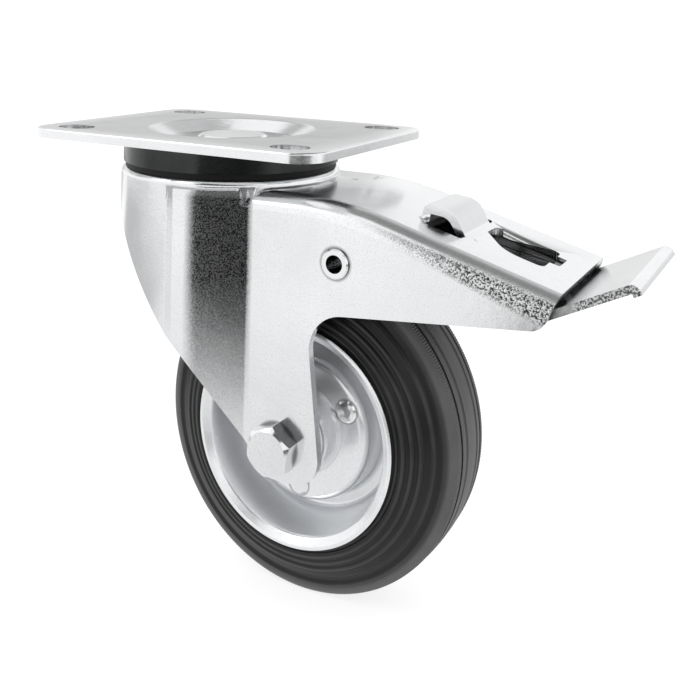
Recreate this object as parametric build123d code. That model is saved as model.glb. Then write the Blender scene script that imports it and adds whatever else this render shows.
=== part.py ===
from build123d import *
import math
import os

# Swivel castor with a pedal brake: a top plate, a swivel head on two rings of balls, a fork
# pressed from one sheet that runs back into a horn, a rubber-tyred pressed wheel on a roller
# bearing, and a brake lever in the horn that blocks the wheel and the swivel together.
#
# Frame: origin where the swivel axis meets the top face of the plate, +Z up, +X towards the
# horn and the pedal, the wheel's axle along Y. Millimetres.

# ---- driving dimensions -------------------------------------------------------------

wheel_d = 100.0            # over the tread
wheel_trail = 35.5         # swivel axis to axle
head_room = 37.0           # plate top to the top of the tread
gap = 0.05                 # between pieces that are fixed together but not fused
run_gap = 0.05             # radial clearance of a running fit
swing_gap = 0.5            # between faces that pass each other

plate_length = 105.0
plate_width = 80.0
plate_thick = 3.0
plate_corner_r = 9.0
plate_edge_r = 0.7
hole_pitch_x = 80.0
hole_pitch_y = 60.0
hole_width = 9.0
slot_length = 12.0
dish_inset = 2.4           # dish edge inside the circle of the upper balls
dish_depth = 3.6
dish_slope = 7.0           # how far the dish wall leans in
dish_edge_r = 3.0
dish_thinning = 0.8        # of the drawn wall

ball_d = 4.5
ball_sink = 0.9            # how deep a ball sits in each race
upper_ball_inset = 2.6     # ball circle inside the crown's plateau
upper_ball_count = 16
lower_ball_d = 4.5
lower_ball_circle_r = 17.0
lower_ball_count = 9
cup_outer_r = 35.0
cup_wall = 2.0
cup_top_thick = 2.7
cup_skirt_drop = 7.0
cup_edge_r = 1.0
seal_height = 1.65
seal_inset = 0.7
lower_cup_r = 21.0
lower_cup_thick = 2.9

pin_shank_r = 7.0
pin_head_r = 11.5
pin_head_thick = 1.5
pin_tail = 2.0             # below the nut
king_nut_flats = 22.0
king_nut_height = 7.0
nut_chamfer = 0.9
lock_ring_thick = 2.5
lock_root_r = 22.4
lock_tip_r = 26.4
lock_teeth = 24
lock_tooth_share = 0.45    # of the pitch, at mid height of the teeth

sheet = 2.5                # fork metal
fork_width = 54.0          # over the flat legs
crown_lip = 0.6            # crown outside the cup
crown_step = 2.5           # crown rim above the horn's roof
crown_edge_r = 1.8
crown_hole_r = 10.0
leg_start_x = 25.0         # where the drawn-in wall meets the flat leg
drawn_in_x = 2.0           # where the round wall starts to draw in
drawn_in_r = 8.0
leg_bend_r = 5.0
horn_start_x = 53.0        # where the roof starts to fall
horn_end_x = 116.5
horn_fall = 17.5
horn_roof_bend_r = 90.0
horn_side_bend_r = 5.5
horn_end_lean = 4.0
horn_end_depth = 9.0
horn_end_corner_r = 5.0
horn_under_rise = 6.6      # of the lower edge, over the horn's length
leg_back_x = 9.0           # leg edge behind the axle, at the top
leg_corner_r = 11.0
leg_behind_axle = 14.8
leg_below_axle = 9.6
leg_tip_back_r = 8.0
leg_tip_front_r = 5.0
leg_tip_ahead = 3.2        # front corner of the tip, ahead of the axle
skirt_knee_x = 1.0
skirt_knee_drop = 43.7     # below the roof
skirt_knee_r = 60.0
skirt_front_drop = 12.2    # below the roof, at the front of the crown

bridge_start_x = 72.4      # foot of the rising front
bridge_end_x = 85.6        # foot of the falling back
bridge_width = 20.6
bridge_height = 4.4        # above the roof, at the top of the front
bridge_front_run = 0.9     # length of the rising front
bridge_back_run = 3.4      # length of the falling back
bridge_fall = 1.1          # of the strap's level part, front to back
bridge_thick = 2.4
bridge_front_r = 1.8
bridge_back_r = 6.5
bridge_foot_r = 1.2
bridge_foot = 2.4          # how far each end runs on along the roof
bridge_slit = 3.3          # free space on each side of the strap
bridge_shelf = 2.2         # from the front foot to the start of the opening
slot_start_x = 88.0
slot_end_x = 107.4
slot_width = 20.0
slot_corner_r = 2.0
notch_length = 2.8         # from the slot's back end
notch_width = 8.0
dimple_r = 2.2             # of the ball that presses the roof's two dimples
dimple_depth = 0.45
dimple_spots = ((41.3, 8.5), (45.8, 13.7))

pivot_x = 53.7
pivot_clearance = 2.97     # between the pivot sleeve and the tread
tube_rivet_r = 3.6
tube_rivet_bore_r = 2.6
tube_rivet_head_r = 4.3
tube_rivet_head_thick = 0.9
pivot_sleeve_wall = 1.5

axle_r = 4.0
axle_hole_gap = 0.1
bolt_flats = 13.0
bolt_head_height = 5.3
bolt_chamfer = 1.3
bolt_tail = 2.0
bolt_turn_deg = 20.0
nut_height = 7.0
nut_neck = 1.6
washer_r = 8.0
washer_thick = 1.5
sleeve_wall = 2.0
roller_d = 3.0
roller_count = 8
cage_wall = 1.2
cage_end = 3.0
cage_play = 1.0            # between the cage and the hub tube's end
hub_wall = 2.4
hub_cap_r = 13.5
hub_cap_end_r = 9.6
hub_cap_thick = 3.0        # beyond the hub tube
thrust_washer_r = 9.0
thrust_washer_thick = 2.45

rim_sheet = 1.6
rim_width = 38.0
rim_lip_r = 32.8
rim_lip_turn = 0.4
rim_band = 2.5             # radial width of the lip's band
rim_band_fall = 1.6
well_r = 29.5
well_floor_r = 27.2
drum_r = 23.0
drum_half = 12.0
drum_lean = 1.4
drum_corner_r = 2.6
rim_bend_r = 1.4
rivet_circle_r = 17.0
rivet_count = 3
rivet_start_deg = -92.0
rivet_r = 2.0
rivet_head_r = 3.3
rivet_head_height = 0.9

shoulder_r = 47.2          # outer edge of the tyre's side
shoulder_half = 11.0       # half width at that edge
tread_half = 9.6
tread_drop = 0.7           # of the tread's edge below the middle
bead_r = 33.6              # first groove beside the rim
bead_depth = 0.7
rib_start_r = 35.4         # middle of the first rib
rib_pitch = 2.3
rib_count = 3
rib_half = 0.75            # half width of a rib
rib_height = 0.45
valley_r = 44.4            # middle of the hollow inside the shoulder
valley_half = 1.5
valley_depth = 0.8
groove_outer = 7.2         # middle of the outer groove, from the wheel's middle
groove_outer_width = 1.1
groove_outer_depth = 1.6
groove_inner = 3.9
groove_inner_width = 1.4
groove_inner_depth = 0.6

pedal_travel_deg = 10.0
lever_sheet = 2.2
lever_side_gap = 0.5
lever_front_x = 27.5
lever_bar_length = 4.0
lever_bar_drop = 9.3       # below the roof
lever_web_x = 61.0
lever_web_drop = 13.7
lever_knee_x = 110.0
lever_knee_drop = 23.5
pedal_end_x = 135.0
pedal_end_drop = 11.4
lever_side_depth = 5.5     # of the side flanges at their back end
lever_side_end_x = 96.0    # where the flanges start to run out towards the knee
lever_pivot_depth = 7.0    # of the side below the pivot
lever_tail_depth = 12.0    # of the side behind the pivot, below the web
pedal_lip = 3.2            # turned down at the end of the pedal
pedal_lip_r = 2.4
lever_knee_r = 12.0
nose_x = 107.5
nose_width = 5.4
nose_height = 6.7
nose_y = 2.0
pawl_width = 2.2
pawl_depth = 2.4
pawl_x = 23.9              # front face, with the pedal down
pawl_rise = 2.0            # into the lock ring, with the pedal down
shoe_from_deg = 45.0       # round the tread, from the level line through the axle
shoe_to_deg = 60.0
shoe_thick = 3.0
shoe_wall = 2.2
shoe_width = 20.0
shoe_gap = 0.35            # to the tread, with the pedal down

spring_thick = 0.8
spring_width = 12.0
spring_start_x = 29.0
spring_fix_x = 40.5        # where it leaves the roof
spring_tip_x = 59.0
spring_tip_rise = 1.0
spring_gap = 0.3           # to the pivot sleeve

# ---- what follows from them ---------------------------------------------------------

wheel_r = wheel_d / 2
axle_x = wheel_trail
axle_z = -head_room - wheel_r
plate_under = -plate_thick
cup_under = plate_under - cup_top_thick
crown_r = cup_outer_r + crown_lip
cup_skirt_z = plate_under - cup_skirt_drop
upper_ball_z = cup_under + ball_sink - ball_d / 2
crown_top = upper_ball_z - ball_d / 2 + ball_sink
crown_under = crown_top - sheet
rim_z = cup_skirt_z - seal_height - 3 * gap
roof_z = rim_z - crown_step
plateau_r = cup_outer_r - cup_wall - swing_gap
upper_ball_circle_r = plateau_r - upper_ball_inset
dish_r = upper_ball_circle_r - dish_inset
lower_ball_z = crown_under + ball_sink / 2 - lower_ball_d / 2
lower_cup_top = lower_ball_z - lower_ball_d / 2 + ball_sink
lower_cup_under = lower_cup_top - lower_cup_thick
lock_under = lower_cup_under - lock_ring_thick
king_nut_under = lock_under - king_nut_height
fork_half = fork_width / 2
inner_half = fork_half - sheet
lever_half = inner_half - lever_side_gap
lever_inner = lever_half - lever_sheet
pivot_sleeve_r = tube_rivet_r + run_gap + pivot_sleeve_wall
pivot_reach = wheel_r + pivot_clearance + pivot_sleeve_r
pivot_z = axle_z + math.sqrt(pivot_reach ** 2 - (pivot_x - axle_x) ** 2)
sleeve_r = axle_r + axle_hole_gap + sleeve_wall
roller_circle_r = sleeve_r + run_gap + roller_d / 2
hub_bore_r = roller_circle_r + roller_d / 2 + run_gap
hub_r = hub_bore_r + hub_wall
hub_cap_reach = inner_half - thrust_washer_thick - run_gap
hub_half = hub_cap_reach - hub_cap_thick
roller_length = 2 * (hub_half - cage_play - cage_end)
roof_slope = horn_fall / (horn_end_x - horn_start_x)


def roof_at(x):
    """Height of the horn's roof at x, behind the place where it starts to fall."""
    return roof_z - roof_slope * (x - horn_start_x)


def along_y(y=0.0):
    """Lay something drawn along Z so that it lies along Y, centred at y."""
    return Pos(0, y, 0) * Rot(-90, 0, 0)


def at_axle():
    return Pos(axle_x, 0, axle_z)


def at_pivot():
    return Pos(pivot_x, 0, pivot_z)


def turned(shape, degrees):
    """Turn a shape about the brake pivot; positive is pedal down."""
    return at_pivot() * Rot(0, degrees, 0) * at_pivot().inverse() * shape


def tube(outer_r, inner_r, length):
    return Cylinder(outer_r, length) - Cylinder(inner_r, length + 2)


def ring_of(points):
    """A body of revolution about Z from (radius, z) points."""
    return revolve(make_face(Polyline(*[(r, 0, z) for r, z in points], close=True)), Axis.Z, 360)


def section(start, steps):
    """A face in the X-Z plane; a step is (end,) for a line or (middle, end) for an arc."""
    edges = []
    here = (start[0], 0, start[1])
    for step in steps + [(start,)]:
        spots = [(x, 0, z) for x, z in step]
        edges.append(ThreePointArc(here, *spots) if len(spots) == 2 else Line(here, *spots))
        here = spots[-1]
    return make_face([e for piece in edges for e in piece.edges()])


def race_groove(circle_r, z, ball):
    return Pos(0, 0, z) * Torus(circle_r, ball / 2 + run_gap)


def ball_ring(circle_r, z, ball, count):
    return [Pos(0, 0, z) * Rot(0, 0, 360 * i / count) * Pos(circle_r, 0, 0) * Sphere(ball / 2)
            for i in range(count)]


def rounded(points, corners=()):
    """A face from its corner points, with the corners listed as (index, radius) rounded."""
    face = make_face(Polyline(*points, close=True))
    for index, radius in corners:
        spot = Vector(points[index][0], points[index][1], 0)
        face = fillet(face.vertices().sort_by_distance(spot)[0], radius)
    return face


def side_plate(points, thickness, corners=()):
    """A plate drawn in the X-Z plane, centred on y = 0."""
    return Rot(90, 0, 0) * extrude(rounded(points, corners), thickness / 2, both=True)


def beside(points, distance):
    """A line of points moved sideways, to the right of its direction, by a thickness."""
    normals = []
    for (x0, z0), (x1, z1) in zip(points, points[1:]):
        length = math.hypot(x1 - x0, z1 - z0)
        normals.append(((z1 - z0) / length, -(x1 - x0) / length))
    first, last = normals[0], normals[-1]
    moved = [(points[0][0] + distance * first[0], points[0][1] + distance * first[1])]
    for (ax, az), (bx, bz), (x, z) in zip(normals, normals[1:], points[1:]):
        scale = distance / (1 + ax * bx + az * bz)
        moved.append((x + scale * (ax + bx), z + scale * (az + bz)))
    moved.append((points[-1][0] + distance * last[0], points[-1][1] + distance * last[1]))
    return moved


# ---- the head: plate, races, king pin -----------------------------------------------

def top_plate():
    blank = Pos(0, 0, plate_under) * extrude(
        RectangleRounded(plate_length, plate_width, plate_corner_r), plate_thick)
    blank = fillet(blank.edges().group_by(Axis.Z)[-1], plate_edge_r)
    floor_r = dish_r - dish_slope
    under_r = dish_r - dish_thinning
    blank += ring_of([(0, plate_under), (under_r, plate_under),
                      (under_r - dish_slope, plate_under - dish_depth),
                      (0, plate_under - dish_depth)])
    blank -= ring_of([(0, 1), (dish_r, 1), (dish_r, 0), (floor_r, -dish_depth),
                      (0, -dish_depth)])
    edge = [e for e in blank.edges().filter_by(GeomType.CIRCLE)
            if abs(e.radius - dish_r) < 0.01 and abs(e.center().Z) < 0.01]
    blank = fillet(edge, dish_edge_r)
    for x in (-hole_pitch_x / 2, hole_pitch_x / 2):
        for y in (-hole_pitch_y / 2, hole_pitch_y / 2):
            blank -= Pos(x, y, plate_under) * extrude(
                SlotOverall(slot_length, hole_width), plate_thick * 2, both=True)
    return blank - Cylinder(pin_shank_r + gap, 40)


def upper_cup():
    inner_r = dish_r - dish_thinning + 4 * gap
    cup = ring_of([(inner_r, plate_under), (cup_outer_r, plate_under),
                   (cup_outer_r, cup_skirt_z), (cup_outer_r - cup_wall, cup_skirt_z),
                   (cup_outer_r - cup_wall, cup_under), (inner_r, cup_under)])
    outer = [e for e in cup.edges().group_by(Axis.Z)[-1] if e.radius > cup_outer_r - 0.1]
    cup = fillet(outer, cup_edge_r)
    return cup - race_groove(upper_ball_circle_r, upper_ball_z, ball_d)


def seal_ring():
    inner_r = plateau_r + gap
    outer_r = cup_outer_r - seal_inset
    return ring_of([(inner_r, rim_z), (outer_r, rim_z), (outer_r, rim_z + seal_height),
                    (inner_r, rim_z + seal_height)])


def king_pin():
    top = -dish_depth + pin_head_thick
    end = king_nut_under - pin_tail
    return ring_of([(0, top), (pin_head_r - 1, top), (pin_head_r, top - 0.6),
                    (pin_head_r, -dish_depth), (pin_shank_r, -dish_depth),
                    (pin_shank_r, end + 1), (pin_shank_r - 1, end), (0, end)])


def lower_cup():
    inner_r = pin_shank_r + gap
    cup = ring_of([(inner_r, lower_cup_top), (lower_cup_r, lower_cup_top),
                   (lower_cup_r, lower_cup_under), (inner_r, lower_cup_under)])
    return cup - race_groove(lower_ball_circle_r, lower_ball_z, lower_ball_d)


def lock_ring():
    """A flat ring with square teeth round it; a gap between two teeth faces +X."""
    pitch = 360 / lock_teeth
    mid_r = (lock_root_r + lock_tip_r) / 2
    tooth = 2 * mid_r * math.sin(math.radians(pitch * lock_tooth_share / 2))
    depth = lock_tip_r - lock_root_r
    blank = Circle(lock_root_r)
    for i in range(lock_teeth):
        blank += Rot(0, 0, pitch * (i + 0.5)) * Pos(lock_tip_r - depth, 0) * Rectangle(
            2 * depth, tooth)
    blank -= Circle(pin_shank_r + gap)
    return Pos(0, 0, lock_under) * extrude(blank, lock_ring_thick)


def hex_nut(flats, height, bore_r):
    """A nut standing on z = 0, its corners turned off above and below."""
    nut = extrude(RegularPolygon(flats / 2, 6, major_radius=False), height)
    wide = flats * 0.6
    flat_r = flats / 2 - 0.3
    nut &= ring_of([(0, 0), (flat_r, 0), (wide, nut_chamfer), (wide, height - nut_chamfer),
                    (flat_r, height), (0, height)])
    return nut - Cylinder(bore_r, height * 4)


def king_nut():
    return Pos(0, 0, king_nut_under) * hex_nut(king_nut_flats, king_nut_height,
                                               pin_shank_r + gap)


# ---- the fork: one pressed sheet ----------------------------------------------------

def fork_plan(inset, far_x):
    """The wall seen from above: half round in front, drawn in to the flat legs."""
    r = crown_r - inset
    half = fork_half - inset
    side_y = math.sqrt(r * r - drawn_in_x * drawn_in_x)
    arc = ThreePointArc((drawn_in_x, -side_y), (-r, 0), (drawn_in_x, side_y))
    rest = Polyline((drawn_in_x, side_y), (leg_start_x, half), (far_x, half), (far_x, -half),
                    (leg_start_x, -half), (drawn_in_x, -side_y))
    face = make_face(arc.edges() + rest.edges())
    for x, y, radius in ((leg_start_x, half, leg_bend_r + inset),
                         (drawn_in_x, side_y, drawn_in_r - inset)):
        for sign in (-1, 1):
            spot = Vector(x, sign * y, 0)
            face = fillet(face.vertices().sort_by_distance(spot)[0], radius)
    return face


def fork_outline():
    """The pressing seen from the side: roof, horn end, leg and front skirt."""
    ahead = -crown_r - 4
    under_z = roof_at(horn_end_x) - horn_end_depth
    tip_z = axle_z - leg_below_axle
    points = [(ahead, roof_z), (horn_start_x, roof_z), (horn_end_x, roof_at(horn_end_x)),
              (horn_end_x - horn_end_lean, under_z),
              (axle_x + leg_back_x, under_z - horn_under_rise),
              (axle_x + leg_behind_axle, tip_z), (axle_x - leg_tip_ahead, tip_z),
              (skirt_knee_x, roof_z - skirt_knee_drop), (ahead, roof_z - skirt_front_drop)]
    return side_plate(points, 4 * crown_r,
                      [(1, horn_roof_bend_r), (3, horn_end_corner_r), (4, leg_corner_r),
                       (5, leg_tip_back_r), (6, leg_tip_front_r), (7, skirt_knee_r)])


def horn_edges(body, half):
    """The edges between the horn's roof and its sides, at |y| = half."""
    return [e for e in body.edges()
            if e.center().X > leg_start_x + 6 and e.center().Z > roof_at(horn_end_x) - 1
            and abs(abs(e.center().Y) - half) < 0.2 and e.bounding_box().size.X > 2]


def fork_room():
    """The space inside the sheet, open below and behind."""
    far_x = horn_end_x + 20
    ahead = -crown_r - 6
    top = beside([(ahead, roof_z), (horn_start_x, roof_z), (far_x, roof_at(far_x))], sheet)
    room = side_plate(top + [(far_x, -200), (ahead, -200)], 4 * crown_r,
                      [(1, horn_roof_bend_r - sheet)])
    room &= Pos(0, 0, -210) * extrude(fork_plan(sheet, far_x), 210)
    return fillet(horn_edges(room, inner_half), horn_side_bend_r - sheet)


def bridge():
    """A strap lanced up out of the horn's roof and left joined in front and behind."""
    x0 = bridge_start_x
    x1 = bridge_end_x
    top = roof_at(x0 + bridge_front_run) + bridge_height
    line = [(x0 - bridge_foot, roof_at(x0 - bridge_foot)), (x0, roof_at(x0)),
            (x0 + bridge_front_run, top), (x1 - bridge_back_run, top - bridge_fall),
            (x1, roof_at(x1)), (x1 + bridge_foot, roof_at(x1 + bridge_foot))]
    under = beside(line, bridge_thick)
    return side_plate(line + under[::-1], bridge_width,
                      [(1, bridge_foot_r), (2, bridge_front_r), (3, bridge_back_r),
                       (4, bridge_foot_r), (7, bridge_foot_r + bridge_thick),
                       (8, bridge_back_r - bridge_thick), (10, bridge_foot_r + 1)])


def fork():
    far_x = horn_end_x + 10
    body = fork_outline() & (Pos(0, 0, -210) * extrude(fork_plan(0, far_x), 210))
    body = fillet(horn_edges(body, fork_half), horn_side_bend_r)
    rim = Cylinder(crown_r, crown_step + horn_side_bend_r + 1,
                   align=(Align.CENTER, Align.CENTER, Align.MAX))
    rim = Pos(0, 0, rim_z) * fillet(rim.edges().sort_by(Axis.Z)[-1], crown_edge_r)
    body += rim
    body -= fork_room()
    body += Pos(0, 0, rim_z - 1) * Cylinder(
        plateau_r, crown_top - rim_z + 1, align=(Align.CENTER, Align.CENTER, Align.MIN))
    for r, under in ((crown_r - sheet, rim_z - sheet), (plateau_r - sheet, crown_under)):
        low = roof_z - sheet - 1
        body -= Pos(0, 0, low) * Cylinder(
            r, under - low, align=(Align.CENTER, Align.CENTER, Align.MIN))
    body -= race_groove(upper_ball_circle_r, upper_ball_z, ball_d)
    body -= race_groove(lower_ball_circle_r, lower_ball_z, lower_ball_d)
    body -= Cylinder(crown_hole_r, 60)
    open_x = bridge_start_x + bridge_shelf
    body -= Pos((open_x + bridge_end_x) / 2, 0, roof_z - 25) * extrude(
        RectangleRounded(bridge_end_x - open_x, bridge_width + 2 * bridge_slit, 1), 40)
    body += bridge()
    body -= Pos((slot_start_x + slot_end_x) / 2, 0, roof_z - 30) * extrude(
        RectangleRounded(slot_end_x - slot_start_x, slot_width, slot_corner_r), 40)
    body -= Pos(slot_end_x, nose_y, roof_z - 30) * extrude(
        RectangleRounded(2 * notch_length, notch_width, 0.8), 40)
    for x, y in dimple_spots:
        body -= Pos(x, y, roof_z + dimple_r - dimple_depth) * Sphere(dimple_r)
    body -= at_axle() * along_y() * Cylinder(axle_r + axle_hole_gap, 200)
    body -= at_pivot() * along_y() * Cylinder(tube_rivet_r + gap, 200)
    return body


def cross_rivet():
    """A hollow rivet right across the fork, spread over at both ends."""
    end = fork_half + tube_rivet_head_thick
    half_line = [(tube_rivet_bore_r, end), (tube_rivet_head_r - 0.4, end),
                 (tube_rivet_head_r, end - 0.4), (tube_rivet_head_r, fork_half),
                 (tube_rivet_r, fork_half)]
    other = [(r, -z) for r, z in half_line[::-1]]
    return at_pivot() * along_y() * ring_of(half_line + other)


# ---- axle and bearing ---------------------------------------------------------------

def hex_head():
    """A bolt head standing on z = 0, its outer corners turned off in a cone."""
    flat_r = bolt_flats / 2 - 0.5
    wide = bolt_flats * 0.6
    low = bolt_head_height - bolt_chamfer
    cone = ring_of([(0, 0), (wide, 0), (wide, low), (flat_r, bolt_head_height),
                    (0, bolt_head_height)])
    return extrude(RegularPolygon(bolt_flats / 2, 6, major_radius=False),
                   bolt_head_height) & cone


def axle_bolt():
    """Drawn along Z with the head below, then laid across the fork."""
    end = fork_half + washer_thick + nut_height + nut_neck + bolt_tail
    shank = ring_of([(0, -fork_half - 1), (axle_r, -fork_half - 1), (axle_r, end - 0.8),
                     (axle_r - 0.8, end), (0, end)])
    head = Pos(0, 0, -fork_half) * Rot(180, 0, bolt_turn_deg) * hex_head()
    return at_axle() * along_y() * (shank + head)


def axle_nut():
    nut = hex_nut(bolt_flats, nut_height, axle_r + gap)
    neck_r = bolt_flats / 2 - 0.8
    neck = ring_of([(axle_r + gap, nut_height - 0.5), (neck_r, nut_height - 0.5),
                    (neck_r, nut_height + nut_neck - 0.6),
                    (neck_r - 0.6, nut_height + nut_neck),
                    (axle_r + gap, nut_height + nut_neck)])
    return at_axle() * along_y() * Pos(0, 0, fork_half + washer_thick) * (nut + neck)


def axle_washers():
    return at_axle() * along_y(fork_half + washer_thick / 2) * tube(
        washer_r, axle_r + gap, washer_thick)


def axle_sleeve():
    return at_axle() * along_y() * tube(sleeve_r, axle_r + gap, 2 * inner_half)


def thrust_washers():
    offset = inner_half - thrust_washer_thick / 2
    return [at_axle() * along_y(side * offset)
            * tube(thrust_washer_r, sleeve_r + gap, thrust_washer_thick) for side in (-1, 1)]


def rollers():
    return [at_axle() * Rot(0, 360 * i / roller_count, 0) * Pos(roller_circle_r, 0, 0)
            * along_y() * Cylinder(roller_d / 2, roller_length) for i in range(roller_count)]


def roller_cage():
    length = roller_length + 2 * cage_end
    cage = tube(roller_circle_r + cage_wall / 2, roller_circle_r - cage_wall / 2, length)
    for i in range(roller_count):
        cage -= Rot(0, 0, 360 * i / roller_count) * Pos(roller_circle_r, 0, 0) * Box(
            roller_d * 2, roller_d + 4 * run_gap, roller_length + 8 * run_gap)
    return at_axle() * along_y() * cage


# ---- the wheel: drawn about Z, then laid on the axle --------------------------------

def rim_line():
    """Outer face of one pressed rim half as (radius, distance from the wheel's middle)."""
    half = rim_width / 2
    return [(hub_r + gap, drum_half), (drum_r - drum_lean, drum_half), (drum_r, rim_sheet),
            (well_floor_r, rim_sheet), (well_r, half - rim_band_fall),
            (well_r + rim_band, half), (rim_lip_r, half - rim_lip_turn)]


def rim_half():
    line = rim_line()
    back = beside(line, rim_sheet)
    back[0] = (line[0][0], line[0][1] - rim_sheet)
    inner_corner = 2 * len(line) - 2
    face = rounded(line + back[::-1], [(i, rim_bend_r) for i in (2, 3, 4)] + [
        (1, drum_corner_r), (inner_corner, drum_corner_r - rim_sheet), (5, 0.8)])
    half = revolve(Rot(90, 0, 0) * face, Axis.Z, 360)
    for i in range(rivet_count):
        half -= rivet_spot(i) * Cylinder(rivet_r + gap, 80)
    return half


def rivet_spot(i):
    return Rot(0, 0, rivet_start_deg + 360 * i / rivet_count) * Pos(rivet_circle_r, 0, 0)


def wheel_pose():
    """Z of the drawn wheel runs towards the near side, -Y; its angles start at +X."""
    return at_axle() * Rot(90, 0, 0)


def rim_near():
    return wheel_pose() * rim_half()


def rim_far():
    return wheel_pose() * mirror(rim_half(), Plane.XY)


def rim_rivets():
    end = drum_half + rivet_head_height
    line = [(0, end), (rivet_head_r * 0.5, end - 0.1), (rivet_head_r * 0.8, end - 0.3),
            (rivet_head_r, end - 0.7), (rivet_head_r, drum_half), (rivet_r, drum_half)]
    pin = ring_of(line + [(r, -z) for r, z in line[::-1]])
    return [wheel_pose() * rivet_spot(i) * pin for i in range(rivet_count)]


def hub_tube():
    return wheel_pose() * tube(hub_r, hub_bore_r, 2 * hub_half)


def hub_caps():
    bore = sleeve_r + 6 * run_gap
    inner_r = hub_r + gap
    low = drum_half + gap
    points = [(inner_r, low), (hub_cap_r, low), (hub_cap_r - 0.6, low + 2.0),
              (hub_cap_end_r + 0.8, hub_cap_reach - 1.6), (hub_cap_end_r, hub_cap_reach),
              (bore, hub_cap_reach), (bore, hub_half + gap), (inner_r, hub_half + gap)]
    cap = ring_of(points)
    return [wheel_pose() * cap, wheel_pose() * mirror(cap, Plane.XY)]


def tyre():
    line = beside(rim_line()[2:], rim_sheet + gap)
    seat = line[2:4]
    floor_line = line[1]
    slope = (seat[0][0] - floor_line[0]) / (seat[0][1] - floor_line[1])
    bead = (seat[1][0] + gap, seat[1][1] - 3 * gap)
    first = (rim_lip_r + 0.3, rim_width / 2 - 1.4)
    side_fall = (first[1] - shoulder_half) / (shoulder_r - first[0])

    def side(r, out=0.0):
        return (r, first[1] - side_fall * (r - first[0]) + out)

    def tread(s, deep=0.0):
        return (wheel_r - tread_drop * (s / tread_half) ** 2 - deep, s)
    steps = [(seat[0],), (bead,), ((first[0], bead[1] - 0.1),), (first,),
             (side(bead_r, -bead_depth), side(bead_r + 0.7))]
    for i in range(rib_count):
        r = rib_start_r + i * rib_pitch
        steps += [(side(r - rib_half),), (side(r, rib_height), side(r + rib_half))]
    steps += [(side(valley_r - valley_half),),
              (side(valley_r, -valley_depth), side(valley_r + valley_half)),
              (side(shoulder_r),),
              ((shoulder_r + 1.1, shoulder_half - 0.5), tread(tread_half))]
    for middle, width, deep in ((groove_outer, groove_outer_width, groove_outer_depth),
                                (groove_inner, groove_inner_width, groove_inner_depth)):
        steps += [(tread(middle + width / 2),), (tread(middle, deep), tread(middle - width / 2))]
    steps += [((wheel_r, 0),)]
    start = (floor_line[0] - slope * floor_line[1], 0)
    half = revolve(section(start, steps), Axis.Z, 360)
    return wheel_pose() * (half + mirror(half, Plane.XY))


# ---- the brake: lever, pedal, pawl and shoe, drawn with the pedal up ----------------

def lever_top():
    """The top line of the lever's web, from the pivot back to the end of the pedal."""
    return [(lever_web_x, roof_z - lever_web_drop), (lever_knee_x, roof_z - lever_knee_drop),
            (pedal_end_x, roof_z - pedal_end_drop)]


def brake_lever():
    web, knee, end = lever_top()
    bar_z = roof_z - lever_bar_drop
    under = beside([web, knee, end], lever_sheet)
    lip = beside([knee, end], pedal_lip)[1]
    run = math.hypot(end[0] - knee[0], end[1] - knee[1])
    back = (lever_sheet * (end[0] - knee[0]) / run, lever_sheet * (end[1] - knee[1]) / run)
    web_fall = (web[1] - knee[1]) / (knee[0] - web[0])
    side_end = (lever_side_end_x,
                web[1] - web_fall * (lever_side_end_x - web[0]) - lever_side_depth)
    bar_back = lever_front_x + lever_bar_length
    low = pivot_z - lever_pivot_depth
    tail = web[1] - lever_tail_depth + 0.8
    side = [(lever_front_x, bar_z), (bar_back + 4, bar_z), web, knee, end, lip,
            (lip[0] - back[0], lip[1] - back[1]), (under[2][0] - back[0], under[2][1] - back[1]),
            under[1], side_end, (pivot_x + 10, tail), (pivot_x - 5, low),
            (bar_back, bar_z - 5), (lever_front_x, bar_z - 5)]
    lever = side_plate(side, 2 * lever_half,
                       [(3, lever_knee_r), (4, pedal_lip_r), (8, lever_knee_r - lever_sheet),
                        (9, 10), (10, 6), (11, 6), (13, 2)])
    inside = beside([(lever_front_x - 9, bar_z), (web[0] - 6, web[1]), web, knee], lever_sheet)
    lever -= side_plate(inside[:-1] + [under[1], (under[1][0], -90), (lever_front_x - 9, -90)],
                        2 * lever_inner)
    open_top = side_plate([(bar_back, roof_z), (web[0], roof_z), (web[0], -90),
                           (bar_back, -90)], 2 * lever_inner)
    lever -= open_top
    lever += side_plate([(lever_front_x, bar_z), (bar_back, bar_z), (bar_back, bar_z - 5),
                         (lever_front_x, bar_z - 5)], 2 * lever_half - 2)
    tab_z = web[1] - web_fall * (nose_x - web[0])
    lever += Pos(0, nose_y, 0) * side_plate(
        [(nose_x, tab_z - 1), (nose_x, tab_z + nose_height),
         (nose_x + lever_sheet, tab_z + nose_height - 0.6), (nose_x + lever_sheet, tab_z - 1)],
        nose_width)
    top = lock_under + pawl_rise
    pawl = side_plate([(pawl_x, top), (pawl_x + pawl_depth, top - 0.6),
                       (pawl_x + pawl_depth, top - 6), (pawl_x, top - 6)], pawl_width)
    pawl = turned(pawl, -pedal_travel_deg)
    foot = pawl.bounding_box().min
    lever += pawl
    lever += side_plate([(foot.X, foot.Z), (foot.X, foot.Z + 3), (bar_back, bar_z - 1),
                         (bar_back, bar_z - 5)], pawl_width + 4)
    return lever - at_pivot() * along_y() * Cylinder(tube_rivet_r + run_gap, 200)


def pivot_sleeve():
    return at_pivot() * along_y() * tube(pivot_sleeve_r, tube_rivet_r + run_gap,
                                         2 * lever_inner - 2 * gap)


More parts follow.
